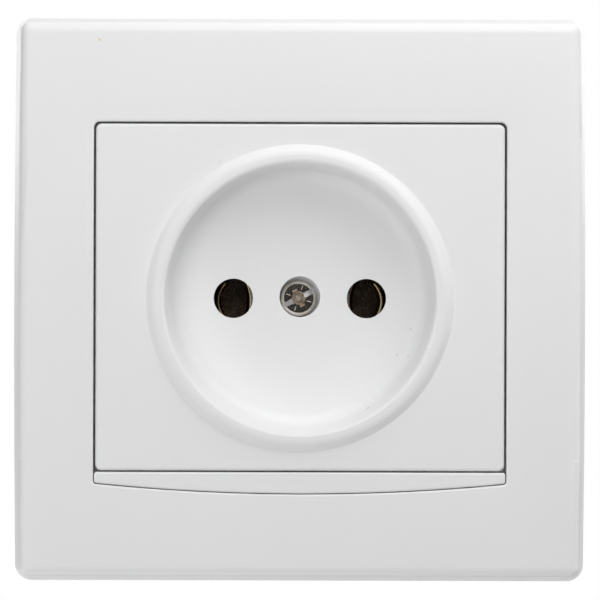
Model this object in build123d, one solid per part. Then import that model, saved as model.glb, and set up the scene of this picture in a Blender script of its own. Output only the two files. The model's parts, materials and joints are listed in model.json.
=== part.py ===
from build123d import *
import math
import os

# Flush two-pin wall socket, in millimetres.
# X is right, Z is up, -Y faces the room and +Y goes into the wall box.
# The origin is on the dish axis in the wall plane, where the support frame lies on the wall.

# Depths
frame_depth = 10.5  # wall plane to the flat front of the outer frame
plate_recess = 0.1  # face of the cover plate behind the frame's front
rim_height = 1.1  # ring round the dish, in front of the plate's face
skirt_depth = 4.4  # plate's face to the ledge that the plate clamps

# Dish of the cover plate
dish_radius = 19.1  # sharp opening, before its edge is rounded
dish_draft = 5.4  # degrees
dish_wall = 1.7
floor_thickness = 2.2
floor_round = 2.0
opening_round = 0.6
rim_width = 1.49  # from the sharp opening to the bevel of the ring
rim_edge_round = 1.2
pin_spacing = 19.0
pin_hole_radius = 2.815

# Cover plate
plate_margin_side = 7.13  # foot of the ring to the plate's edge
plate_margin_top = 2.88
plate_margin_bottom = 2.63
plate_corner = 0.85
plate_thickness = 1.8
plate_edge_round = 0.45
skirt_inset = 0.9
skirt_thickness = 1.4
rib_thickness = 1.1
rib_depth = 2.0
rib_spread_x = 15.0
rib_spread_z = 13.0

# Gaps round the plate and the strip
side_gap = 0.31
top_gap = 0.27
strip_gap = 0.22
strip_fit = 0.12

# Decor strip
strip_end_height = 1.55
strip_bow = 1.45
strip_corner = 0.4
strip_edge_round = 0.3
strip_lip = 1.6
strip_peg_radius = 0.7
strip_peg_spread = 36.0
strip_peg_length = 2.4

# Outer frame
border_side = 11.8
border_top = 15.2
border_bottom = 12.75
side_bow = 0.28
frame_corner = 2.4
frame_draft = 7.0  # degrees
frame_edge_round = 1.5
frame_wall = 2.0
opening_corner_top = 0.9
opening_corner_bottom = 0.5
opening_edge_round = 0.3
inner_wall = 1.6
ledge_thickness = 1.5
ledge_margin = 0.5  # ledge reaches this far inside the skirt
frame_rib = 1.2
frame_rib_spread = 30.0
pad_width = 2.0
pad_height = 6.0
pad_level = 17.0

# Cover screw, its boss and its nut
screw_hole_radius = 2.9
cover_screw_level = 0.24  # just above the line of the pins
screw_seat_depth = 4.0  # dish floor to the seat of the screw head
screw_seat_thickness = 2.0
boss_wall = 1.2
cover_head_radius = 2.6
cover_head_height = 1.8
cover_shank_radius = 1.5
cover_slot_angle = 27.0  # degrees
nut_across_flats = 5.5
nut_height = 2.4
nut_shoulder = 2.5  # base wall that the nut pulls against

# Screw heads and tips
head_round = 0.5
slot_width = 0.8
slot_depth = 0.8
cross_length = 2.6
tick_start = 1.26  # screw axis to the inner end of a tick between the arms of the cross
tick_end = 1.87
tick_width = 0.2
tick_depth = 0.15
screw_point = 0.8  # chamfer at a screw's tip

# Support frame
support_sheet = 1.0
support_size = 70.0
support_corner = 7.0
box_spacing = 60.0
box_slot_length = 6.0
box_slot_radius = 1.8
link_hole_radius = 2.1
link_hole_inset = 6.0

# Socket base
base_depth = 27.4  # wall plane to the back of the base
base_half_height = 20.5
base_corner = 6.0
base_back_chamfer = 1.0
tongue_width = 8.0
tongue_depth = 8.0
tongue_root = 1.0  # tongue's overlap with the block of the base
relief_width = 10.0
relief_height = 9.0
relief_level = -12.0
relief_wall = 9.0  # base front to the end of the reliefs cut from behind
base_screw_edge = 2.7  # support opening to the axis of a base screw
base_screw_radius = 1.45
base_screw_length = 7.0
base_head_radius = 2.6
base_head_height = 1.8

# Contacts and terminals
contact_sheet = 0.4
leaf_mouth = 2.05  # pin axis to the front edge of the outer leaf, away from the cover screw
inner_leaf_mouth = 2.3  # pin axis to the front edge of the flatter leaf beside the cover screw
leaf_grip = 1.85
leaf_heel = 2.05
leaf_grip_depth = 5.0  # front edge to the narrowest place
leaf_curve = 3.5  # inner radius of the outer leaf's bow
inner_leaf_curve = 6.0
leaf_half_height = 2.5
leaf_level = -0.4  # middle of a leaf's bow, just below the pin axis
leaf_edge_round = 0.17
leaf_room = 0.6  # room in the base for the leaves to spring open
contact_tail_width = 4.9
pocket_lip = 1.0  # depth of the lip that narrows a pocket's mouth towards the cover screw
contact_bend = 0.9
tail_level = 6.3
terminal_level = 13.0
terminal_seat = 9.6  # wall plane to the floor under the terminal
terminal_tab = 4.4  # terminal axis to the end of the contact's tab
clamp_size = 7.0
clamp_sheet = 1.2
clamp_corner = 0.8
terminal_screw_radius = 1.75
terminal_screw_length = 6.0
terminal_head_radius = 2.9
terminal_head_height = 2.0
wire_window = 4.5
rivet_radius = 1.0
rivet_head_radius = 1.6
rivet_head_height = 0.5
rivet_recess = 1.6
rivet_wall = 2.9  # base wall that a rivet holds the contact against

# Spreading claws
claw_level = -8.0
claw_width = 9.0
claw_sheet = 1.2
claw_arm = 4.5  # pivot to the axis of the claw screw
claw_arm_over = 1.5  # arm beyond that axis
claw_leg = 16.4
claw_toe = 3.4
claw_toe_angle = 35.0  # degrees
claw_teeth = 4
claw_tooth = 1.0
claw_pivot_depth = 2.6
claw_pin_radius = 1.0
claw_pin_head = 1.6
claw_pin_head_height = 0.8
claw_eye_wall = 1.0
claw_side_play = 0.2
claw_screw_radius = 1.5
claw_collar_wall = 0.9
claw_collar_height = 1.0
claw_head_radius = 2.4
claw_head_height = 1.9
claw_head_lift = 2.4  # head above the support frame before it is driven in
claw_tip_gap = 0.1
ring_land = 0.7  # sheet left between the support opening and a claw screw's collar

# Clearances
clearance = 0.3  # between parts that pass each other
shank_play = 0.2  # screw shank in a plain hole
thread_play = 0.1  # claw screw in its collar
tight_play = 0.05  # rivets, pins and nuts in their seats
pivot_play = 0.12  # claw on its pin

# Limits
round_share = 0.9  # share of a wall or corner that a rounding may take
touch = 0.01  # reach of a search for edges at a known place

# Levels along Y; the front of the base lies in the wall plane, against the support frame
base_front = 0.0
floor_back = base_front - clearance
floor_face = floor_back - floor_thickness
frame_face = -frame_depth
plate_face = frame_face + plate_recess
plate_back = plate_face + plate_thickness
rim_face = plate_face - rim_height
seat_face = plate_face + skirt_depth
ledge_back = seat_face + ledge_thickness
screw_seat = floor_face + screw_seat_depth
boss_back = screw_seat + screw_seat_thickness
boss_pocket = boss_back + clearance
nut_seat = boss_pocket + nut_shoulder
nut_back = nut_seat + nut_height
leaf_front = base_front + pocket_lip + clearance
recess_floor = base_depth - rivet_recess
pocket_floor = recess_floor - rivet_wall
web_front = pocket_floor - contact_sheet
tab_front = terminal_seat - contact_sheet
clamp_front = tab_front - clamp_sheet

# Outlines seen from the front
wall_slope = math.tan(math.radians(dish_draft))
rim_radius = dish_radius + rim_width
rim_foot = rim_radius + rim_height  # the bevel is at 45 degrees
plate_half = rim_foot + plate_margin_side
plate_top = rim_foot + plate_margin_top
plate_bottom = rim_foot + plate_margin_bottom
opening_half = plate_half + side_gap
opening_top = plate_top + top_gap
strip_top = plate_bottom + strip_gap
strip_half = opening_half - strip_fit
strip_end = strip_top + strip_end_height
strip_middle = strip_end + strip_bow
frame_half = opening_half + border_side
frame_top = opening_top + border_top
frame_bottom = strip_middle + strip_fit + border_bottom
pin_x = pin_spacing / 2

# Places set by the pieces they have to clear
boss_radius = screw_hole_radius + boss_wall
support_opening = dish_radius + dish_wall - (-support_sheet - rim_face) * wall_slope + clearance
collar_radius = claw_screw_radius + thread_play + claw_collar_wall
claw_screw_x = math.sqrt((support_opening + ring_land + collar_radius) ** 2 - claw_level**2)
pivot_x = claw_screw_x + claw_arm
eye_bore = claw_pin_radius + pivot_play
eye_radius = eye_bore + claw_eye_wall
base_half_width = claw_screw_x - collar_radius - clearance
base_screw_z = support_opening + base_screw_edge
contact_low = leaf_level - leaf_half_height - contact_sheet
claw_low = claw_level - claw_width / 2
claw_high = claw_level + claw_width / 2
ear_low = claw_low - claw_side_play
ear_high = claw_high + claw_side_play


# Helpers

def slab(sketch, back, front):
    """Extrude a sketch seen from the front, from depth back to depth front."""
    plane = Plane(origin=(0, back, 0), x_dir=(1, 0, 0), z_dir=(0, -1, 0))
    return extrude(plane * sketch, amount=back - front)


def rod(radius, back, front, x=0.0, z=0.0):
    """Round bar along Y."""
    return slab(Pos(x, z) * Circle(radius), back, front)


def turned(lines):
    """Revolve a closed outline of radius and depth about the dish axis."""
    return revolve(make_face(lines), axis=Axis.Y)


def front_edges(part):
    """Edges of the face that lies furthest forward."""
    return part.faces().sort_by(Axis.Y)[0].edges()


def back_edges(part):
    """Edges of the face that lies furthest back."""
    return part.faces().sort_by(Axis.Y)[-1].edges()


def mirrored(part):
    return mirror(part, about=Plane.YZ)


def plate_outline(inset=0.0):
    """Outline of the cover plate, or of a line drawn inside it."""
    width = 2 * (plate_half - inset)
    height = plate_top + plate_bottom - 2 * inset
    return Pos(0, (plate_top - plate_bottom) / 2) * RectangleRounded(width, height, plate_corner)


def bowed_outline(half, top, end, middle, round_top, round_bottom):
    """Outline with straight sides and top and a bottom edge that bows down in the middle."""
    upper = Polyline((-half, -end), (-half, top), (half, top), (half, -end))
    lower = ThreePointArc((half, -end), (0, -middle), (-half, -end))
    face = Sketch() + make_face([upper, lower])
    corners = face.vertices().group_by(Axis.Y)
    face = fillet(corners[-1], round_top)
    return fillet(face.vertices().group_by(Axis.Y)[0], round_bottom)


def frame_opening():
    return bowed_outline(opening_half, opening_top, strip_end + strip_fit, strip_middle + strip_fit,
                         opening_corner_top, opening_corner_bottom)


def frame_outline(inset=0.0):
    """Outline of the outer frame at the wall, with slightly bowed sides."""
    half = frame_half - inset
    top = frame_top - inset
    bottom = frame_bottom - inset
    corner_x = half - side_bow
    middle = (top - bottom) / 2
    edges = [
        Line((-corner_x, -bottom), (corner_x, -bottom)),
        ThreePointArc((corner_x, -bottom), (half, middle), (corner_x, top)),
        Line((corner_x, top), (-corner_x, top)),
        ThreePointArc((-corner_x, top), (-half, middle), (-corner_x, -bottom)),
    ]
    face = Sketch() + make_face(edges)
    return fillet(face.vertices(), frame_corner)


def tapered(sketch, height):
    """Extrude an outline from the wall plane towards the room with the frame's draft."""
    plane = Plane(origin=(0, 0, 0), x_dir=(1, 0, 0), z_dir=(0, -1, 0))
    return extrude(plane * sketch, amount=height, taper=frame_draft)


def cross_ticks():
    """Four short marks between the arms of a cross recess."""
    tick = Pos((tick_start + tick_end) / 2, 0) * Rectangle(tick_end - tick_start, tick_width)
    ticks = Sketch()
    for quarter in range(4):
        ticks += Rot(0, 0, 45 + 90 * quarter) * tick
    return ticks


def screw(x, z, seat, tip, head_radius, head_height, shank_radius, slot_angle=0.0, cross=False):
    """Screw along Y with its head's seat at depth seat and its tip at depth tip."""
    head_front = seat - head_height
    head = rod(head_radius, seat, head_front)
    head = fillet(front_edges(head), min(head_round, head_height * round_share))
    shank = rod(shank_radius, tip, seat)
    shank = chamfer(back_edges(shank), min(screw_point, shank_radius * round_share))
    body = head + shank
    turn = Rot(0, 0, slot_angle)
    body -= slab(turn * Rectangle(2 * head_radius, slot_width), head_front + slot_depth, head_front)
    if cross:
        body -= slab(turn * Rectangle(slot_width, cross_length), head_front + slot_depth, head_front)
        body -= slab(turn * cross_ticks(), head_front + tick_depth, head_front)
    return Pos(x, 0, z) * body


# Visible pieces

def dish_radius_at(depth):
    """Radius of the dish's inner wall at a depth along Y."""
    return dish_radius - (depth - rim_face) * wall_slope


def dish_shell():
    """Dish with its raised and bevelled ring, turned about the dish axis."""
    inner = FilletPolyline(
        (0, floor_face),
        (dish_radius_at(floor_face), floor_face),
        (dish_radius, rim_face),
        (rim_radius, rim_face),
        (rim_foot, plate_face),
        radius=[floor_round, opening_round, rim_edge_round],
    )
    outer = FilletPolyline(
        (rim_foot, plate_face),
        (rim_foot, plate_back),
        (dish_radius_at(plate_back) + dish_wall, plate_back),
        (dish_radius_at(floor_back) + dish_wall, floor_back),
        (0, floor_back),
        radius=[0, 0, floor_round + dish_wall],
    )
    axis_line = Line((0, floor_back), (0, floor_face))
    return turned([inner, outer, axis_line])


def plate_ribs():
    """Straight ribs behind the plate, from the skirt to the dish."""
    inset = skirt_inset + skirt_thickness / 2
    width = 2 * (plate_half - inset)
    level = (plate_top - plate_bottom) / 2
    height = plate_top + plate_bottom - 2 * inset
    bars = Sketch()
    for side in (-1, 1):
        bars += Pos(0, side * rib_spread_z) * Rectangle(width, rib_thickness)
        bars += Pos(side * rib_spread_x, level) * Rectangle(rib_thickness, height)
    bars -= Circle(dish_radius_at(plate_back) + dish_wall / 2)
    return slab(bars, plate_back + rib_depth, plate_back)


def make_cover_plate():
    panel = slab(plate_outline(), plate_back, plate_face)
    panel = fillet(front_edges(panel), min(plate_edge_round, plate_corner * round_share))
    panel -= rod(rim_foot, plate_back, plate_face)
    skirt = plate_outline(skirt_inset) - plate_outline(skirt_inset + skirt_thickness)
    plate = panel + slab(skirt, seat_face, plate_back) + dish_shell() + plate_ribs()
    plate += rod(boss_radius, boss_back, floor_back, 0, cover_screw_level)
    plate -= rod(screw_hole_radius, screw_seat, floor_face, 0, cover_screw_level)
    plate -= rod(cover_shank_radius + shank_play, boss_back, screw_seat, 0, cover_screw_level)
    for side in (-1, 1):
        plate -= rod(pin_hole_radius, floor_back, floor_face, side * pin_x)
    return plate


def strip_pegs(radius, length):
    level = -(strip_top + strip_end + strip_bow / 2) / 2
    peg = rod(radius, seat_face + length, seat_face, strip_peg_spread / 2, level)
    return peg + mirrored(peg)


def make_decor_strip():
    front = bowed_outline(strip_half, -strip_top, strip_end, strip_middle, strip_corner, strip_corner)
    strip = slab(front, plate_face + strip_lip, plate_face)
    strip = fillet(front_edges(strip), min(strip_edge_round, strip_corner * round_share))
    foot = bowed_outline(strip_half - strip_fit, -strip_top - strip_fit, strip_end - strip_fit,
                         strip_middle - strip_fit, strip_corner, strip_corner)
    strip += slab(foot, seat_face, plate_face + strip_lip)
    return strip + strip_pegs(strip_peg_radius, strip_peg_length)


def ledge_opening():
    inset = skirt_inset + skirt_thickness + ledge_margin
    return plate_outline(inset)


def frame_ribs():
    """Stiffening ribs between the frame's outer wall and the wall round its opening."""
    bars = Sketch()
    for side in (-1, 1):
        bars += Pos(0, side * frame_rib_spread / 2) * Rectangle(2 * frame_half, frame_rib)
        bars += Pos(side * frame_rib_spread / 2, 0) * Rectangle(frame_rib, 2 * frame_bottom)
    return slab(bars, ledge_back, frame_face + frame_wall)


def make_outer_frame():
    body = tapered(frame_outline(), frame_depth)
    body = fillet(front_edges(body), frame_edge_round)
    hollow = tapered(frame_outline(frame_wall), frame_depth - frame_wall)
    core = slab(offset(frame_opening(), inner_wall), ledge_back, frame_face + frame_wall)
    frame = body - hollow + core + (frame_ribs() & hollow)
    for x in (-1, 1):
        for z in (-1, 1):
            pad = Pos(x * (plate_half - skirt_inset - skirt_thickness / 2), z * pad_level)
            frame += slab(pad * Rectangle(pad_width, pad_height), -support_sheet, ledge_back)
    frame -= slab(frame_opening(), seat_face, frame_face)
    frame -= slab(ledge_opening(), ledge_back, seat_face)
    frame -= strip_pegs(strip_peg_radius + shank_play, ledge_thickness)
    rim = frame.edges().filter_by_position(Axis.Y, frame_face - touch, frame_face + touch)
    rim = rim.filter_by_position(Axis.X, -opening_half - touch, opening_half + touch)
    rim = rim.filter_by_position(Axis.Z, -strip_middle - strip_fit - touch, opening_top + touch)
    return fillet(rim, min(opening_edge_round, opening_corner_bottom * round_share))


def make_cover_screw():
    return screw(0, cover_screw_level, screw_seat, nut_back + cover_shank_radius, cover_head_radius,
                 cover_head_height, cover_shank_radius, cover_slot_angle, cross=True)


# Mounting pieces

def claw_ears():
    """Two ears for one claw's pin, bent back from the support frame."""
    reach = eye_radius + tight_play
    outline = Pos(pivot_x, claw_pivot_depth) * Circle(reach)
    outline += Pos(pivot_x, claw_pivot_depth / 2 - support_sheet / 2) * Rectangle(
        2 * reach, claw_pivot_depth + support_sheet)
    outline -= Pos(pivot_x, claw_pivot_depth) * Circle(claw_pin_radius + tight_play)
    lower = extrude(Plane.XY.offset(ear_low) * outline, amount=-support_sheet)
    upper = extrude(Plane.XY.offset(ear_high) * outline, amount=support_sheet)
    return lower + upper


def make_support_frame():
    sheet = RectangleRounded(support_size, support_size, support_corner) - Circle(support_opening)
    slot = SlotOverall(box_slot_length, 2 * box_slot_radius)
    link = support_size / 2 - link_hole_inset
    reach = eye_radius + tight_play
    for side in (-1, 1):
        sheet -= Pos(side * box_spacing / 2, 0) * slot
        sheet -= Pos(0, side * box_spacing / 2) * Rot(0, 0, 90) * slot
        sheet -= Pos(0, side * base_screw_z) * Circle(base_screw_radius + shank_play)
        sheet -= Pos(side * claw_screw_x, claw_level) * Circle(claw_screw_radius + thread_play)
        sheet -= Pos(side * pivot_x, claw_level) * Rectangle(2 * reach, ear_high - ear_low)
        sheet -= Pos(side * link, link) * Circle(link_hole_radius)
        sheet -= Pos(side * link, -link) * Circle(link_hole_radius)
    frame = slab(sheet, 0, -support_sheet)
    ears = claw_ears()
    frame += ears + mirrored(ears)
    for side in (-1, 1):
        collar = Circle(collar_radius) - Circle(claw_screw_radius + thread_play)
        frame += slab(Pos(side * claw_screw_x, claw_level) * collar, claw_collar_height, 0)
    return frame


def make_base_screw(side):
    return screw(0, side * base_screw_z, -support_sheet, base_screw_length, base_head_radius,
                 base_head_height, base_screw_radius)


def claw_toe_plate():
    """Toothed end of a claw, drawn flat and then set at its angle."""
    tip = claw_toe
    valley = claw_toe - claw_tooth
    pitch = claw_width / claw_teeth
    points = [(-claw_sheet / 2, -claw_width / 2)]
    for tooth in range(claw_teeth):
        start = -claw_width / 2 + tooth * pitch
        points += [(valley, start), (tip, start + pitch / 2)]
    points += [(valley, claw_width / 2), (-claw_sheet / 2, claw_width / 2)]
    flat = make_face(Polyline(*points, close=True))
    angle = math.radians(claw_toe_angle)
    along = Vector(math.sin(angle), math.cos(angle), 0)
    across = Vector(math.cos(angle), -math.sin(angle), 0)
    root = Vector(pivot_x, claw_pivot_depth + claw_leg, claw_level)
    plane = Plane(origin=root, x_dir=along, z_dir=across)
    return extrude(plane * flat, amount=claw_sheet / 2, both=True)


def make_claw():
    """Right claw: an eye round its pin, an arm towards the screw and a toothed leg along the base."""
    arm = claw_arm + claw_arm_over
    section = Pos(pivot_x, claw_pivot_depth) * Circle(eye_radius)
    section += Pos(pivot_x - arm / 2, claw_pivot_depth) * Rectangle(arm, claw_sheet)
    section += Pos(pivot_x, claw_pivot_depth + claw_leg / 2) * Rectangle(claw_sheet, claw_leg)
    section += Pos(pivot_x, claw_pivot_depth + claw_leg) * Circle(claw_sheet / 2)
    section -= Pos(pivot_x, claw_pivot_depth) * Circle(eye_bore)
    claw = extrude(Plane.XY.offset(claw_low) * section, amount=claw_width)
    return claw + claw_toe_plate()


def make_claw_pin():
    spot = Pos(pivot_x, claw_pivot_depth)
    low = ear_low - support_sheet
    high = ear_high + support_sheet
    pin = extrude(Plane.XY.offset(low) * spot * Circle(claw_pin_radius), amount=high - low)
    pin += extrude(Plane.XY.offset(low) * spot * Circle(claw_pin_head), amount=-claw_pin_head_height)
    return pin + extrude(Plane.XY.offset(high) * spot * Circle(claw_pin_head), amount=claw_pin_head_height)


def make_claw_screw():
    tip = claw_pivot_depth - claw_sheet / 2 - claw_tip_gap
    return screw(claw_screw_x, claw_level, -support_sheet - claw_head_lift, tip, claw_head_radius,
                 claw_head_height, claw_screw_radius)


# Base, contacts and terminals

def contact_pocket():
    """Pocket for one contact's leaves and for the bent tail above them, with a lip at its mouth."""
    lip_edge = contact_tail_width / 2 + tight_play
    half = contact_tail_width / 2 + leaf_room
    low = contact_low - clearance
    high = tail_level + contact_bend + clearance
    mouth = Pos(pin_x + (half - lip_edge) / 2, (low + high) / 2) * Rectangle(half + lip_edge, high - low)
    room = Pos(pin_x, (low + high) / 2) * Rectangle(2 * half, high - low)
    return slab(mouth, pocket_floor, base_front) + slab(room, pocket_floor, base_front + pocket_lip)


def terminal_chamber():
    """Chamber for one terminal, with a window in the top of the base for the wire."""
    half = clamp_size / 2 + clearance
    low = tail_level - contact_sheet / 2
    high = terminal_level + terminal_tab + clearance
    chamber = slab(Pos(pin_x, (low + high) / 2) * Rectangle(2 * half, high - low), terminal_seat, base_front)
    window = Pos(pin_x, (high + base_half_height) / 2) * Rectangle(2 * half, base_half_height - high)
    chamber += slab(window, terminal_seat, terminal_seat - wire_window)
    depth = clamp_front + terminal_screw_length + clearance
    return chamber + rod(terminal_screw_radius + shank_play, depth, terminal_seat, pin_x, terminal_level)


def rivet_hole():
    hole = rod(rivet_radius + tight_play, base_depth, pocket_floor, pin_x)
    recess = rod(rivet_head_radius + clearance, base_depth, recess_floor, pin_x)
    return hole + recess


def make_socket_base():
    outline = RectangleRounded(2 * base_half_width, 2 * base_half_height, base_corner)
    block = slab(outline, base_depth, base_front)
    block = chamfer(back_edges(block), base_back_chamfer)
    reach = base_screw_z + tongue_width / 2
    tongue = SlotOverall(2 * reach, tongue_width, rotation=90)
    tongue -= Rectangle(tongue_width, 2 * (base_half_height - tongue_root))
    block += slab(tongue, tongue_depth, 0)
    block -= rod(boss_radius + clearance, boss_pocket, base_front, 0, cover_screw_level)
    block -= rod(cover_shank_radius + shank_play, nut_seat, boss_pocket, 0, cover_screw_level)
    nut = RegularPolygon(nut_across_flats / 2 + tight_play, 6, major_radius=False)
    block -= slab(Pos(0, cover_screw_level) * nut, base_depth, nut_seat)
    for cut in (contact_pocket(), terminal_chamber(), rivet_hole()):
        block -= cut
        block -= mirrored(cut)
    for side in (-1, 1):
        relief = Pos(side * pin_x, relief_level) * Rectangle(relief_width, relief_height)
        block -= slab(relief, base_depth, base_front + relief_wall)
        block -= rod(base_screw_radius + tight_play, tongue_depth, 0, 0, side * base_screw_z)
    return block


def make_cover_nut():
    nut = RegularPolygon(nut_across_flats / 2, 6, major_radius=False)
    nut -= Circle(cover_shank_radius + tight_play)
    return slab(Pos(0, cover_screw_level) * nut, nut_back, nut_seat)


def leaf_section(curve, reach, depth):
    """Leaf on the right of a pin, cut across: its bow's radius, its reach from the pin and its depth."""
    spread = math.degrees(math.asin(leaf_half_height / curve))
    inner = CenterArc((0, 0), curve, -spread, 2 * spread)
    outer = CenterArc((0, 0), curve + contact_sheet, -spread, 2 * spread)
    sides = [Line(inner @ 0, outer @ 0), Line(inner @ 1, outer @ 1)]
    plane = Plane(origin=(pin_x + reach - curve, depth, leaf_level), x_dir=(1, 0, 0), z_dir=(0, -1, 0))
    return plane * make_face([inner, outer, *sides])


def contact_leaf(mouth, curve):
    """Leaf on the right of the right pin, pinched to a grip between its mouth and its heel."""
    stations = [(mouth, leaf_front), (leaf_grip, leaf_front + leaf_grip_depth), (leaf_heel, web_front)]
    leaf = loft([leaf_section(curve, reach, depth) for reach, depth in stations], ruled=True)
    return fillet(front_edges(leaf), min(leaf_edge_round, contact_sheet / 2 * round_share))


def make_contact():
    """Right contact: gripping leaves on a web, with a tail bent forward to the terminal."""
    middle = contact_sheet / 2
    path = FilletPolyline(
        (pocket_floor - middle, contact_low),
        (pocket_floor - middle, tail_level),
        (terminal_seat - middle, tail_level),
        (terminal_seat - middle, terminal_level + terminal_tab),
        radius=contact_bend,
    )
    plane = Plane(origin=(pin_x - contact_tail_width / 2, 0, 0), x_dir=(0, 1, 0), z_dir=(1, 0, 0))
    tail = extrude(plane * trace(path, line_width=contact_sheet), amount=contact_tail_width)
    inner_leaf = mirror(contact_leaf(inner_leaf_mouth, inner_leaf_curve), about=Plane.YZ.offset(pin_x))
    contact = tail + contact_leaf(leaf_mouth, leaf_curve) + inner_leaf
    contact -= rod(rivet_radius + tight_play, pocket_floor, web_front, pin_x)
    return contact - rod(terminal_screw_radius + tight_play, terminal_seat, tab_front, pin_x, terminal_level)


def make_contact_rivet():
    rivet = rod(rivet_radius, recess_floor, web_front, pin_x)
    rivet += rod(rivet_head_radius, web_front, web_front - rivet_head_height, pin_x)
    return rivet + rod(rivet_head_radius, recess_floor + rivet_head_height, recess_floor, pin_x)


def make_terminal_plate():
    plate = chamfer(Rectangle(clamp_size, clamp_size).vertices(), clamp_corner)
    plate -= Circle(terminal_screw_radius + shank_play)
    return slab(Pos(pin_x, terminal_level) * plate, tab_front, clamp_front)


def make_terminal_screw():
    tip = clamp_front + terminal_screw_length
    return screw(pin_x, terminal_level, clamp_front, tip, terminal_head_radius, terminal_head_height,
                 terminal_screw_radius)


def make_parts():
    parts = {
        "outer_frame": make_outer_frame(),
        "decor_strip": make_decor_strip(),
        "cover_plate": make_cover_plate(),
        "cover_screw": make_cover_screw(),
        "support_frame": make_support_frame(),
        "socket_base": make_socket_base(),
        "cover_nut": make_cover_nut(),
        "base_screw_upper": make_base_screw(1),
        "base_screw_lower": make_base_screw(-1),
    }
    pairs = {
        "contact": make_contact(),
        "contact_rivet": make_contact_rivet(),
        "terminal_plate": make_terminal_plate(),
        "terminal_screw": make_terminal_screw(),
        "claw": make_claw(),
        "claw_pin": make_claw_pin(),
        "claw_screw": make_claw_screw(),
    }
    for name, part in pairs.items():
        parts[f"{name}_right"] = part
        parts[f"{name}_left"] = mirrored(part)
    return parts


os.makedirs("parts", exist_ok=True)
for name, part in make_parts().items():
    export_step(part, f"parts/{name}.step")
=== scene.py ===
import json
import math

import bmesh
import bpy
from mathutils import Matrix, Vector


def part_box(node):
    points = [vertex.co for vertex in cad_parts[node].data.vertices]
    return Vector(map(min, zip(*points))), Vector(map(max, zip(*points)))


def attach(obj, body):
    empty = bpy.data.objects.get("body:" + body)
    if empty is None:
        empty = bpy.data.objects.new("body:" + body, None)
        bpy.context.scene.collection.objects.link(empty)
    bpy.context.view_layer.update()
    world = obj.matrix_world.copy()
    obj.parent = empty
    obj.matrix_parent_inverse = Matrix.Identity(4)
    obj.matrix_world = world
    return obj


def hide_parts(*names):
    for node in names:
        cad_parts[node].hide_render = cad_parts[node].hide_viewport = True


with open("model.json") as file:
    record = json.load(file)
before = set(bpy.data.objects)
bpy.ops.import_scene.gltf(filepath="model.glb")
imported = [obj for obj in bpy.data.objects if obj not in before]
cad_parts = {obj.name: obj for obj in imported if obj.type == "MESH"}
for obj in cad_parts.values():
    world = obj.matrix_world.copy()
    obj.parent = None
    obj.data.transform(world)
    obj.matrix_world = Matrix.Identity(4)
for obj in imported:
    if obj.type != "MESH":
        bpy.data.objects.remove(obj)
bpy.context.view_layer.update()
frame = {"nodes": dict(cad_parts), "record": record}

# Camera, in metres and degrees: the picture is square, and its centre looks at the aim
PICTURE_SIDE = 600
PIXELS_PER_METRE = 7099.1
CAMERA_AIM = (-0.00002, -0.0105, -0.00025)
CAMERA_DISTANCE = 0.6
CAMERA_AZIMUTH = -0.25
CAMERA_ELEVATION = -0.19
CAMERA_ROLL = 0.166
SENSOR_WIDTH = 36.0

# Studio, in metres: a pale floor, a dark card in front of the object, and how bright the room is
FLOOR_LEVEL = -0.75
FLOOR_RADIUS = 0.9
FLOOR_GREYS = (0.84, 0.88)
CARD_PLACE = -0.95
CARD_RADIUS = 0.38
CARD_GREYS = (0.02, 0.03)
DISC_SEGMENTS = 96
DISC_ROUGHNESS = 0.7
SEEN_ROOM = 1.0
MIRRORED_ROOM = 0.92

# Soft square lamps that face the object: degrees off the dish axis, degrees round it from the right,
# metres away, side in metres and watts; the matt ones give light but show in no reflection
LAMPS = {
    "front_left": (15, 180, 0.70, 0.30, 1.00),
    "front_low": (18, 270, 0.70, 0.50, 0.76),
    "key": (40, 60, 0.40, 0.40, 0.27),
    "key_right": (50, 30, 0.70, 0.35, 0.37),
    "key_top": (62, 78, 0.25, 0.25, 0.43),
    "top_left": (50, 120, 0.40, 0.40, 0.06),
    "edge_left": (80, 205, 0.25, 0.25, 0.17),
    "edge_right": (95, 0, 0.70, 0.35, 1.10),
    "low": (50, 275, 0.70, 0.35, 0.13),
    "low_left": (80, 240, 0.70, 0.35, 0.40),
    "under": (95, 270, 0.70, 0.35, 0.90),
    "over": (120, 90, 0.70, 0.35, 0.60),
    "rear_left": (145, 150, 0.70, 0.35, 0.60),
    "rear_right": (145, 30, 0.70, 0.35, 0.60),
}
MATT_LAMPS = ("front_left", "front_low", "key_top", "top_left")

# Most values of a noise lie between these
NOISE_LOW = 0.3
NOISE_HIGH = 0.7

# Height in metres that a bump of full strength stands for
BUMP_DISTANCE = 0.0001

# Specks on the white plastic: place in metres, radius in metres, colour; each has its full colour within
# the core, a share of its radius, and so have the patches of painted shade on the brass
SPECKS = [
    ((-0.02837, -0.0105, 0.03636), 0.00026, (0.76, 0.69, 0.44)),
    ((0.00973, -0.00405, -0.01558), 0.00024, (0.30, 0.30, 0.29)),
    ((0.01388, -0.0025, -0.00803), 0.00020, (0.70, 0.69, 0.68)),
    ((0.01545, -0.0028, -0.00817), 0.00018, (0.66, 0.65, 0.64)),
    ((0.01580, -0.0025, -0.00432), 0.00020, (0.70, 0.69, 0.68)),
    ((-0.01135, -0.0104, 0.01916), 0.00024, (0.80, 0.80, 0.80)),
]
SPECK_AND_SHADE_CORE = 0.3

# Depths in metres between which the brass goes from its own bright tone to a dark painted shade inside the
# contacts
BRASS_SHADE_START = 0.0014
BRASS_SHADE_END = 0.0026

# Painted shade on the edges of two leaves that lie in shade: place in metres, radius in metres, colour
PAINTED_LEAF_SHADE = [
    ((-0.0117, 0.0014, 0.0), 0.0046, (0.15, 0.105, 0.06)),
    ((0.0072, 0.0014, 0.0), 0.0044, (0.12, 0.075, 0.045)),
]

# Shading of the outer frame: faces that meet within this angle in degrees look like one curved surface,
# corners that agree to this many decimals of a metre are one place, and triangles lower than this many
# metres are slivers
FRAME_SMOOTH_ANGLE = 35.0
PLACE_DECIMALS = 7
SLIVER_HEIGHT = 0.00002

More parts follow.
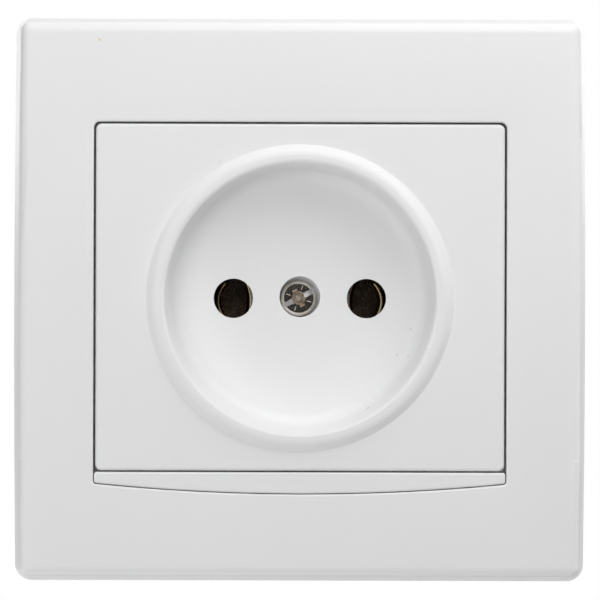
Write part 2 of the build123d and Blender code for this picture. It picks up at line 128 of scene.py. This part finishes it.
# Cover screw, in metres and degrees: its place in the hole, its turned form and the recesses in its head;
# the slot's three depths are at its lower end, in the middle and at its upper end
SCREW_SHIFT = (-0.00017, 0.0, -0.00018)
SCREW_SMOOTH_ANGLE = 30.0
LATHE_STEPS = 128
HEAD_FLAT = 0.00205
HEAD_EDGE = 0.0006
HEAD_EDGE_START = 6
HEAD_EDGE_STEPS = 12
HEAD_HEIGHT = 0.0018
SHANK_RADIUS = 0.0015
TIP_LENGTH = 0.0008
TIP_RADIUS = 0.0007
SLOT_ANGLE = 27.0
SLOT_HALF_WIDTH = 0.00036
SLOT_OVERRUN = 1.2
SLOT_LOW_DEPTH = 0.00058
SLOT_MID_DEPTH = 0.00044
SLOT_HIGH_DEPTH = 0.00116
TICK_START = 0.00126
TICK_END = 0.00187
TICK_HALF_WIDTH = 0.00007
TICK_DEPTH = 0.00005
FUNNEL_RADIUS = 0.00098
FUNNEL_FLOOR = 0.00040
FUNNEL_DEPTH = 0.00090
CROSS_REACH = 0.00132
CROSS_HALF_WIDTH = 0.00040
CROSS_DEPTH = 0.00125
CROSS_FLOOR_REACH = 0.00045
CROSS_FLOOR_HALF_WIDTH = 0.00022
CUT_RISE = 0.0004
MM_PER_METRE = 1000.0


# Node helpers

def new_material(name, metallic=0.0):
    """A node material with its shader and object coordinates in the model's own metres."""
    material = bpy.data.materials.new(name)
    material.use_nodes = True
    tree = material.node_tree
    shader = tree.nodes["Principled BSDF"]
    shader.inputs["Metallic"].default_value = metallic
    place = tree.nodes.new("ShaderNodeTexCoord").outputs["Object"]
    return material, tree, shader, place


def noise(tree, place, scale, detail=2.0):
    node = tree.nodes.new("ShaderNodeTexNoise")
    node.inputs["Scale"].default_value = scale
    node.inputs["Detail"].default_value = detail
    tree.links.new(place, node.inputs["Vector"])
    return node.outputs["Fac"]


def stretched(tree, place, scale):
    """Coordinates scaled along each axis, for brushed or drawn marks."""
    node = tree.nodes.new("ShaderNodeMapping")
    node.inputs["Scale"].default_value = scale
    tree.links.new(place, node.inputs["Vector"])
    return node.outputs["Vector"]


def remap(tree, value, low, high, start=NOISE_LOW, end=NOISE_HIGH):
    """A number that goes from low to high while the value goes from start to end."""
    node = tree.nodes.new("ShaderNodeMapRange")
    node.inputs["From Min"].default_value = start
    node.inputs["From Max"].default_value = end
    node.inputs["To Min"].default_value = low
    node.inputs["To Max"].default_value = high
    tree.links.new(value, node.inputs["Value"])
    return node.outputs["Result"]


def tones(tree, value, low, high):
    """A colour that goes from one tone to another with a noise."""
    node = tree.nodes.new("ShaderNodeValToRGB")
    for element, position, tone in zip(node.color_ramp.elements, (NOISE_LOW, NOISE_HIGH), (low, high)):
        element.position = position
        element.color = (*tone, 1.0)
    tree.links.new(value, node.inputs["Fac"])
    return node.outputs["Color"]


def speck_and_shade_spot(tree, place, colour, centre, radius, tint):
    """The colour with a small soft-edged spot in it: a speck of dirt on the plastic, and a patch of painted
    shade on the brass.
    """
    away = tree.nodes.new("ShaderNodeVectorMath")
    away.operation = "DISTANCE"
    tree.links.new(place, away.inputs[0])
    away.inputs[1].default_value = centre
    share = remap(tree, away.outputs["Value"], low=1.0, high=0.0, start=radius * SPECK_AND_SHADE_CORE, end=radius)
    blend = tree.nodes.new("ShaderNodeMixRGB")
    tree.links.new(share, blend.inputs["Fac"])
    tree.links.new(colour, blend.inputs["Color1"])
    blend.inputs["Color2"].default_value = (*tint, 1.0)
    return blend.outputs["Color"]


def paint(tree, shader, colour, roughness):
    tree.links.new(colour, shader.inputs["Base Color"])
    tree.links.new(roughness, shader.inputs["Roughness"])


def bump(tree, shader, height, strength):
    node = tree.nodes.new("ShaderNodeBump")
    node.inputs["Strength"].default_value = strength
    node.inputs["Distance"].default_value = BUMP_DISTANCE
    tree.links.new(height, node.inputs["Height"])
    tree.links.new(node.outputs["Normal"], shader.inputs["Normal"])


# Materials: one for each slot of the record, and worn nickel for the cover screw's recesses

def white_plastic():
    """Glossy moulded plastic: faint mottling, an uneven gloss, a trace of ripple and a few specks."""
    material, tree, shader, place = new_material("white_plastic")
    mottle = noise(tree, place, scale=45.0, detail=3.0)
    colour = tones(tree, mottle, low=(0.885, 0.885, 0.889), high=(0.899, 0.899, 0.903))
    for centre, radius, tint in SPECKS:
        colour = speck_and_shade_spot(tree, place, colour, centre, radius, tint)
    paint(tree, shader, colour, remap(tree, noise(tree, place, scale=220.0), low=0.34, high=0.38))
    bump(tree, shader, noise(tree, place, scale=700.0), strength=0.01)
    return material


def base_plastic():
    """Matt insulating plastic with a fine moulded grain."""
    material, tree, shader, place = new_material("base_plastic")
    mottle = noise(tree, place, scale=120.0, detail=4.0)
    colour = tones(tree, mottle, low=(0.185, 0.195, 0.215), high=(0.215, 0.225, 0.245))
    paint(tree, shader, colour, remap(tree, noise(tree, place, scale=900.0), low=0.48, high=0.62))
    bump(tree, shader, noise(tree, place, scale=3500.0, detail=4.0), strength=0.15)
    return material


def zinc_steel():
    """Zinc-plated sheet steel: cloudy plating over drawn lines."""
    material, tree, shader, place = new_material("zinc_steel", metallic=1.0)
    clouds = noise(tree, place, scale=160.0, detail=5.0)
    colour = tones(tree, clouds, low=(0.52, 0.53, 0.55), high=(0.70, 0.71, 0.72))
    drawn = noise(tree, stretched(tree, place, scale=(1.0, 1.0, 25.0)), scale=400.0, detail=3.0)
    paint(tree, shader, colour, remap(tree, drawn, low=0.26, high=0.44))
    bump(tree, shader, drawn, strength=0.06)
    return material


def nickel():
    """Nickel-plated steel with a warm cast and a slightly uneven polish."""
    material, tree, shader, place = new_material("nickel", metallic=1.0)
    clouds = noise(tree, place, scale=900.0, detail=3.0)
    colour = tones(tree, clouds, low=(0.78, 0.73, 0.67), high=(0.94, 0.89, 0.83))
    paint(tree, shader, colour, remap(tree, noise(tree, place, scale=2500.0), low=0.09, high=0.17))
    bump(tree, shader, noise(tree, place, scale=6000.0), strength=0.02)
    return material


def worn_nickel(name, dark, bright):
    """Plating rubbed by the screwdriver, smoother where it is brighter."""
    material, tree, shader, place = new_material(name, metallic=1.0)
    rubbed = noise(tree, place, scale=2600.0, detail=5.0)
    paint(tree, shader, tones(tree, rubbed, dark, bright), remap(tree, rubbed, low=0.46, high=0.30))
    bump(tree, shader, rubbed, strength=0.70)
    return material


def brass():
    """Stamped brass, bright where the plug's pins rub its front edge, darkened further in by painted shade,
    and with two patches of painted shade on leaf edges.
    """
    material, tree, shader, place = new_material("brass", metallic=1.0)
    axes = tree.nodes.new("ShaderNodeSeparateXYZ")
    tree.links.new(place, axes.inputs["Vector"])
    # Painted shade: the brass darkens with depth into the pin holes
    depth = remap(tree, axes.outputs["Y"], low=0.0, high=1.0, start=BRASS_SHADE_START, end=BRASS_SHADE_END)
    mottle = noise(tree, place, scale=500.0, detail=4.0)
    rubbed = tones(tree, mottle, low=(0.60, 0.45, 0.21), high=(0.84, 0.66, 0.36))
    painted_shade_tone = tones(tree, mottle, low=(0.26, 0.20, 0.15), high=(0.36, 0.28, 0.21))
    blend = tree.nodes.new("ShaderNodeMixRGB")
    tree.links.new(depth, blend.inputs["Fac"])
    tree.links.new(rubbed, blend.inputs["Color1"])
    tree.links.new(painted_shade_tone, blend.inputs["Color2"])
    colour = blend.outputs["Color"]
    # Two patches of painted shade darken the leaf edges that lie in shade
    for centre, radius, tint in PAINTED_LEAF_SHADE:
        colour = speck_and_shade_spot(tree, place, colour, centre, radius, tint)
    drawn = noise(tree, stretched(tree, place, scale=(1.0, 12.0, 1.0)), scale=1200.0)
    paint(tree, shader, colour, remap(tree, drawn, low=0.22, high=0.38))
    bump(tree, shader, drawn, strength=0.05)
    return material


def dress_nodes(materials):
    """Every CAD node gets the material of its slot."""
    for part in frame["record"]["subparts"]:
        node = frame["nodes"][part["node"]]
        node.data.materials.clear()
        node.data.materials.append(materials[part["material_slot"]])


# Outer frame

def face_directions(mesh, places):
    """Each face's normal, where a sliver takes that of the face across its longest side."""
    directions = [face.normal.copy() for face in mesh.polygons]
    sides = {}
    slivers = []
    for face in mesh.polygons:
        corners = [places[point] for point in face.vertices]
        pairs = list(zip(corners, corners[1:] + corners[:1]))
        for pair in pairs:
            sides.setdefault(frozenset(pair), []).append(face.index)
        longest = max(pairs, key=lambda pair: math.dist(*pair))
        length = math.dist(*longest)
        if 2 * face.area < SLIVER_HEIGHT * length:
            slivers.append((face.area / length, face.index, frozenset(longest)))
    for _, index, side in sorted(slivers, reverse=True):
        others = [other for other in sides[side] if other != index]
        if others:
            directions[index] = directions[others[0]]
    return directions


def corner_normals(mesh):
    """A normal for each face corner: the faces that join smoothly there, weighed by their angles."""
    places = [vertex.co.to_tuple(PLACE_DECIMALS) for vertex in mesh.vertices]
    directions = face_directions(mesh, places)
    meeting = {}
    for face in mesh.polygons:
        corners = [Vector(places[point]) for point in face.vertices]
        for k, point in enumerate(face.vertices):
            before = corners[k - 1] - corners[k]
            after = corners[(k + 1) % len(corners)] - corners[k]
            meeting.setdefault(places[point], []).append((directions[face.index], before.angle(after, 0.0)))
    least = math.cos(math.radians(FRAME_SMOOTH_ANGLE))
    normals = []
    for face in mesh.polygons:
        own = directions[face.index]
        for point in face.vertices:
            near = [way * angle for way, angle in meeting[places[point]] if way.dot(own) > least]
            normals.append(sum(near, Vector()).normalized())
    return normals


def make_frame(material):
    """The frame's own mesh, with its shading made anew because slivers in the mesh bend it."""
    mesh = frame["nodes"]["outer_frame"].data.copy()
    mesh.normals_split_custom_set(corner_normals(mesh))
    mesh.materials.clear()
    mesh.materials.append(material)
    piece = bpy.data.objects.new("outer_frame_shell", mesh)
    bpy.context.scene.collection.objects.link(piece)
    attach(piece, "socket")
    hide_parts("outer_frame")


# Solids for the cover screw

def shade(mesh):
    """Smooth shading that keeps the sharper edges."""
    grid = bmesh.new()
    grid.from_mesh(mesh)
    bmesh.ops.recalc_face_normals(grid, faces=grid.faces)
    limit = math.radians(SCREW_SMOOTH_ANGLE)
    for edge in grid.edges:
        edge.smooth = len(edge.link_faces) == 2 and edge.calc_face_angle() < limit
    for face in grid.faces:
        face.smooth = True
    grid.to_mesh(mesh)
    grid.free()


def solid(name, points, faces):
    """Closed mesh object from points and faces."""
    mesh = bpy.data.meshes.new(name)
    mesh.from_pydata(points, [], faces)
    shade(mesh)
    piece = bpy.data.objects.new(name, mesh)
    bpy.context.scene.collection.objects.link(piece)
    return piece


def lathe(name, profile):
    """Piece turned about Y from pairs of radius and depth, with a flat cap at each end."""
    steps = LATHE_STEPS
    turns = [2 * math.pi * step / steps for step in range(steps)]
    points = [(radius * math.cos(turn), depth, radius * math.sin(turn))
              for radius, depth in profile for turn in turns]
    last = len(points) - steps
    faces = [tuple(range(steps)), tuple(range(last + steps - 1, last - 1, -1))]
    for near in range(0, last, steps):
        for step in range(steps):
            after = (step + 1) % steps
            faces.append((near + step, near + steps + step, near + steps + after, near + after))
    return solid(name, points, faces)


def joined_ends(count):
    """Faces of a solid between two like ends of so many points, the first end listed first."""
    faces = [tuple(range(count)), tuple(range(2 * count - 1, count - 1, -1))]
    faces += [(k, k + count, (k + 1) % count + count, (k + 1) % count) for k in range(count)]
    return faces


def prism(name, section, low, high, turn):
    """Section of places along a slot and depths, carried across the slot and turned about Y."""
    spin = Matrix.Rotation(-math.radians(turn), 4, "Y")
    points = [spin @ Vector((along, depth, across)) for across in (low, high) for along, depth in section]
    return solid(name, points, joined_ends(len(section)))


def frustum(name, front, depth, mouth, floor, turn):
    """Tapered pocket turned about Y: half length and half width at its mouth and at its floor."""
    spin = Matrix.Rotation(-math.radians(turn), 4, "Y")
    points = []
    for share in (-CUT_RISE / depth, 1.0):
        along, across = (m + (f - m) * share for m, f in zip(mouth, floor))
        for x, z in ((-along, -across), (along, -across), (along, across), (-along, across)):
            points.append(spin @ Vector((x, front + depth * share, z)))
    return solid(name, points, joined_ends(4))


def cut(piece, cutters):
    """Take the cutters out of a piece, in millimetres so that the smallest cuts stay exact."""
    for thing in (piece, *cutters):
        thing.data.transform(Matrix.Scale(MM_PER_METRE, 4))
    for cutter in cutters:
        step = piece.modifiers.new(cutter.name, "BOOLEAN")
        step.operation = "DIFFERENCE"
        step.solver = "EXACT"
        step.object = cutter
        step.material_mode = "TRANSFER"
    bpy.context.view_layer.update()
    mesh = bpy.data.meshes.new_from_object(piece.evaluated_get(bpy.context.evaluated_depsgraph_get()))
    piece.modifiers.clear()
    piece.data = mesh
    mesh.transform(Matrix.Scale(1 / MM_PER_METRE, 4))
    shade(mesh)
    for cutter in cutters:
        bpy.data.objects.remove(cutter)


# Cover screw

def screw_blank(front, tip, head):
    """Turned blank: a pan head with a rounded edge, the shank and its tapered tip."""
    edge = []
    for k in range(HEAD_EDGE_STEPS + 1):
        angle = math.radians(HEAD_EDGE_START + (90 - HEAD_EDGE_START) * k / HEAD_EDGE_STEPS)
        radius = HEAD_FLAT + (head - HEAD_FLAT) * math.sin(angle)
        edge.append((radius, front + HEAD_EDGE * (1 - math.cos(angle))))
    seat = front + HEAD_HEIGHT
    shank = [(SHANK_RADIUS, seat), (SHANK_RADIUS, tip - TIP_LENGTH), (TIP_RADIUS, tip)]
    return lathe("cover_screw_head", [(HEAD_FLAT, front), *edge, (head, seat), *shank])


def slot_cutter(front, head):
    """Slot across the head, with a floor that falls away from the middle to both ends."""
    above = front - CUT_RISE
    reach = SLOT_OVERRUN * head
    section = [
        (-reach, above),
        (reach, above),
        (reach, front + SLOT_HIGH_DEPTH),
        (0.0, front + SLOT_MID_DEPTH),
        (-reach, front + SLOT_LOW_DEPTH),
    ]
    return prism("slot", section, -SLOT_HALF_WIDTH, SLOT_HALF_WIDTH, SLOT_ANGLE)


def tick_cutters(front):
    """Four fine grooves that point outwards, halfway between the arms of the cross."""
    above = front - TICK_DEPTH
    section = [(-TICK_HALF_WIDTH, above), (TICK_HALF_WIDTH, above), (0.0, front + TICK_DEPTH)]
    return [prism(f"tick_{turn}", section, TICK_START, TICK_END, SLOT_ANGLE + turn)
            for turn in (-45, 45, 135, 225)]


def recess_cutters(front):
    """Tapered cross, and the funnel worn into the middle of it."""
    widen = (FUNNEL_RADIUS - FUNNEL_FLOOR) / FUNNEL_DEPTH
    rim = FUNNEL_RADIUS + widen * CUT_RISE
    cutters = [lathe("funnel", [(rim, front - CUT_RISE), (FUNNEL_FLOOR, front + FUNNEL_DEPTH)])]
    mouth = (CROSS_REACH, CROSS_HALF_WIDTH)
    floor = (CROSS_FLOOR_REACH, CROSS_FLOOR_HALF_WIDTH)
    for turn in (0, 90):
        cutters.append(frustum(f"arm_{turn}", front, CROSS_DEPTH, mouth, floor, SLOT_ANGLE + turn))
    return cutters


def make_cover_screw(material, slot_material, recess_material):
    """Pan-head screw with a slot, a tapered cross recess and four ticks between the arms of the cross."""
    low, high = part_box("cover_screw")
    front, tip = low.y, high.y
    head = (high.x - low.x) / 2
    screw = screw_blank(front, tip, head)
    screw.data.materials.append(material)
    slot = slot_cutter(front, head)
    slot.data.materials.append(slot_material)
    ticks = tick_cutters(front)
    recess = recess_cutters(front)
    for cutter in recess:
        cutter.data.materials.append(recess_material)
    cut(screw, [slot, *ticks, *recess])
    screw.location = Vector(((low.x + high.x) / 2, 0.0, (low.z + high.z) / 2)) + Vector(SCREW_SHIFT)
    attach(screw, "socket")
    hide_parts("cover_screw")


# Studio

def make_camera():
    azimuth, elevation = math.radians(CAMERA_AZIMUTH), math.radians(CAMERA_ELEVATION)
    level = math.cos(elevation)
    back = Vector((math.sin(azimuth) * level, -math.cos(azimuth) * level, math.sin(elevation)))
    data = bpy.data.cameras.new("camera")
    data.sensor_width = SENSOR_WIDTH
    data.lens = PIXELS_PER_METRE * CAMERA_DISTANCE * SENSOR_WIDTH / PICTURE_SIDE
    camera = bpy.data.objects.new("camera", data)
    bpy.context.scene.collection.objects.link(camera)
    camera.rotation_mode = "QUATERNION"
    camera.location = Vector(CAMERA_AIM) + back * CAMERA_DISTANCE
    upright = (-back).to_track_quat("-Z", "Y")
    roll = Matrix.Rotation(math.radians(CAMERA_ROLL), 3, "Z").to_quaternion()
    camera.rotation_quaternion = upright @ roll
    bpy.context.scene.camera = camera


def make_lamp(name, off_axis, turn, distance, side, power):
    polar, around = math.radians(off_axis), math.radians(turn)
    way = Vector((math.sin(polar) * math.cos(around), -math.cos(polar), math.sin(polar) * math.sin(around)))
    data = bpy.data.lights.new(name, "AREA")
    data.size = side
    data.energy = power
    lamp = bpy.data.objects.new(name, data)
    lamp.location = way * distance
    lamp.rotation_euler = (-way).to_track_quat("-Z", "Y").to_euler()
    lamp.visible_camera = False
    lamp.visible_glossy = name not in MATT_LAMPS
    bpy.context.scene.collection.objects.link(lamp)


def make_world():
    """White behind the object for the camera, a greyer room for reflections and no other light."""
    world = bpy.data.worlds.new("studio")
    world.use_nodes = True
    bpy.context.scene.world = world
    tree = world.node_tree
    path = tree.nodes.new("ShaderNodeLightPath")
    seen = None
    for ray, strength in (("Is Glossy Ray", MIRRORED_ROOM), ("Is Camera Ray", SEEN_ROOM)):
        room = tree.nodes.new("ShaderNodeBackground")
        room.inputs["Color"].default_value = (1.0, 1.0, 1.0, 1.0)
        room.inputs["Strength"].default_value = strength
        mix = tree.nodes.new("ShaderNodeMixShader")
        tree.links.new(path.outputs[ray], mix.inputs["Fac"])
        if seen:
            tree.links.new(seen, mix.inputs[1])
        tree.links.new(room.outputs["Background"], mix.inputs[2])
        seen = mix.outputs["Shader"]
    tree.links.new(seen, tree.nodes["World Output"].inputs["Surface"])


def make_disc(name, radius, greys):
    """A round card for the studio, in a matt material between two greys."""
    material, tree, shader, place = new_material(name)
    low, high = ((grey, grey, grey) for grey in greys)
    tree.links.new(tones(tree, noise(tree, place, scale=8.0), low, high), shader.inputs["Base Color"])
    shader.inputs["Roughness"].default_value = DISC_ROUGHNESS
    mesh = bpy.data.meshes.new(name)
    grid = bmesh.new()
    bmesh.ops.create_circle(grid, cap_ends=True, segments=DISC_SEGMENTS, radius=radius)
    grid.to_mesh(mesh)
    grid.free()
    mesh.materials.append(material)
    disc = bpy.data.objects.new(name, mesh)
    bpy.context.scene.collection.objects.link(disc)
    return disc


def make_floor():
    floor = make_disc("floor", FLOOR_RADIUS, FLOOR_GREYS)
    floor.location = (0, 0, FLOOR_LEVEL)


def make_dark_card():
    """The dark room in front of the object, which only reflections show."""
    card = make_disc("dark_card", CARD_RADIUS, CARD_GREYS)
    card.location = (0, CARD_PLACE, 0)
    card.rotation_euler = (math.radians(90), 0, 0)
    card.visible_camera = False
    card.visible_diffuse = False
    card.visible_shadow = False


slots = {
    "white_plastic": white_plastic(),
    "base_plastic": base_plastic(),
    "zinc_steel": zinc_steel(),
    "nickel": nickel(),
    "brass": brass(),
}
slot_nickel = worn_nickel("slot_nickel", dark=(0.66, 0.66, 0.66), bright=(0.92, 0.92, 0.91))
recess_nickel = worn_nickel("worn_nickel", dark=(0.36, 0.30, 0.25), bright=(0.95, 0.87, 0.76))
dress_nodes(slots)
make_frame(slots["white_plastic"])
make_cover_screw(slots["nickel"], slot_nickel, recess_nickel)
make_camera()
make_world()
make_floor()
make_dark_card()
for lamp_name, lamp in LAMPS.items():
    make_lamp(lamp_name, *lamp)
bpy.context.scene.view_settings.view_transform = "Standard"
